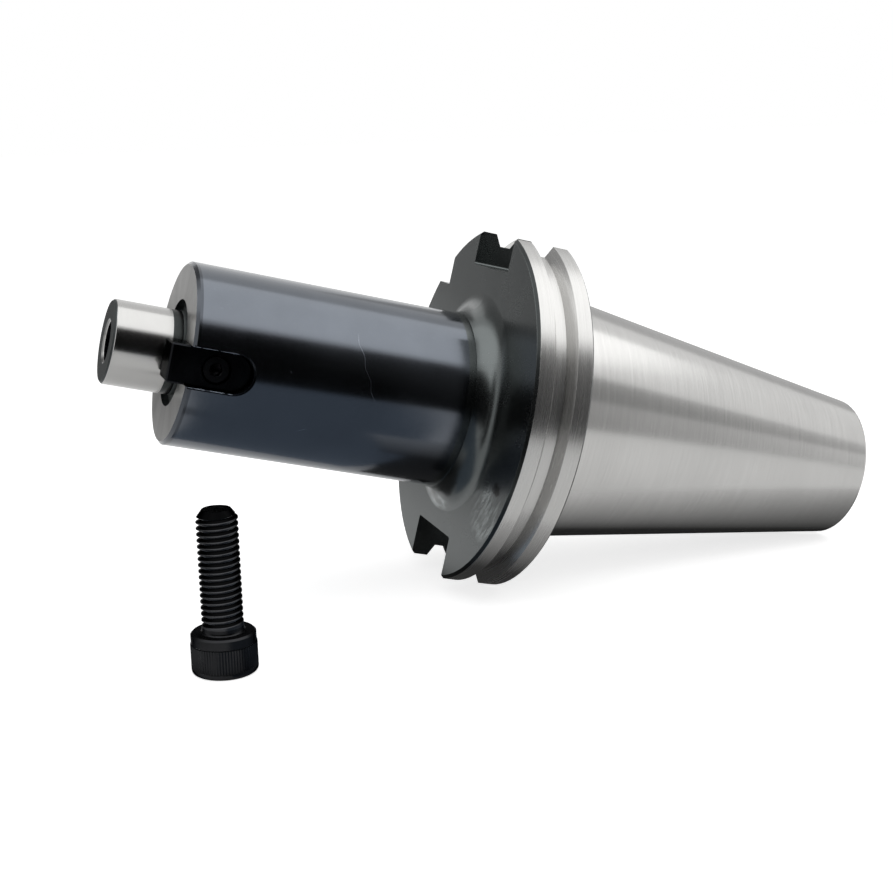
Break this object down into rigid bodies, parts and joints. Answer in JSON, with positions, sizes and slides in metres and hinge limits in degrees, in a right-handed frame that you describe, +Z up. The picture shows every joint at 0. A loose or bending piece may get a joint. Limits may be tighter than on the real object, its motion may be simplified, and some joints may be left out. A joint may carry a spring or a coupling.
{
  "type": "shell mill arbor",
  "caption": "Steep taper shell mill arbor with gripper flange, ground pilot, drive keys and its cutter screw beside it.",
  "frame": {"origin": "on the surface that the arbor rests on, under the centre of the whole set's bounding box", "axes": "+Z up; X runs along the floor below the arbor's axis, with the nose towards -X; +Y to the side away from the cutter screw"},
  "size_m": [0.2198, 0.1058, 0.0947],
  "materials": {
    "ground_and_blackened_steel": "ground bright on taper, rim and pilot, satin black oxide on the body and flange face",
    "black_oxide_key": "satin black oxide",
    "black_oxide_screw": "black oxide"
  },
  "bodies": {
    "root": {"arbor_body": "ground_and_blackened_steel", "drive_key_near": "black_oxide_key", "drive_key_far": "black_oxide_key", "key_screw_near": "black_oxide_screw", "key_screw_far": "black_oxide_screw", "cutter_screw": "black_oxide_screw"}
  },
  "joints": []
}
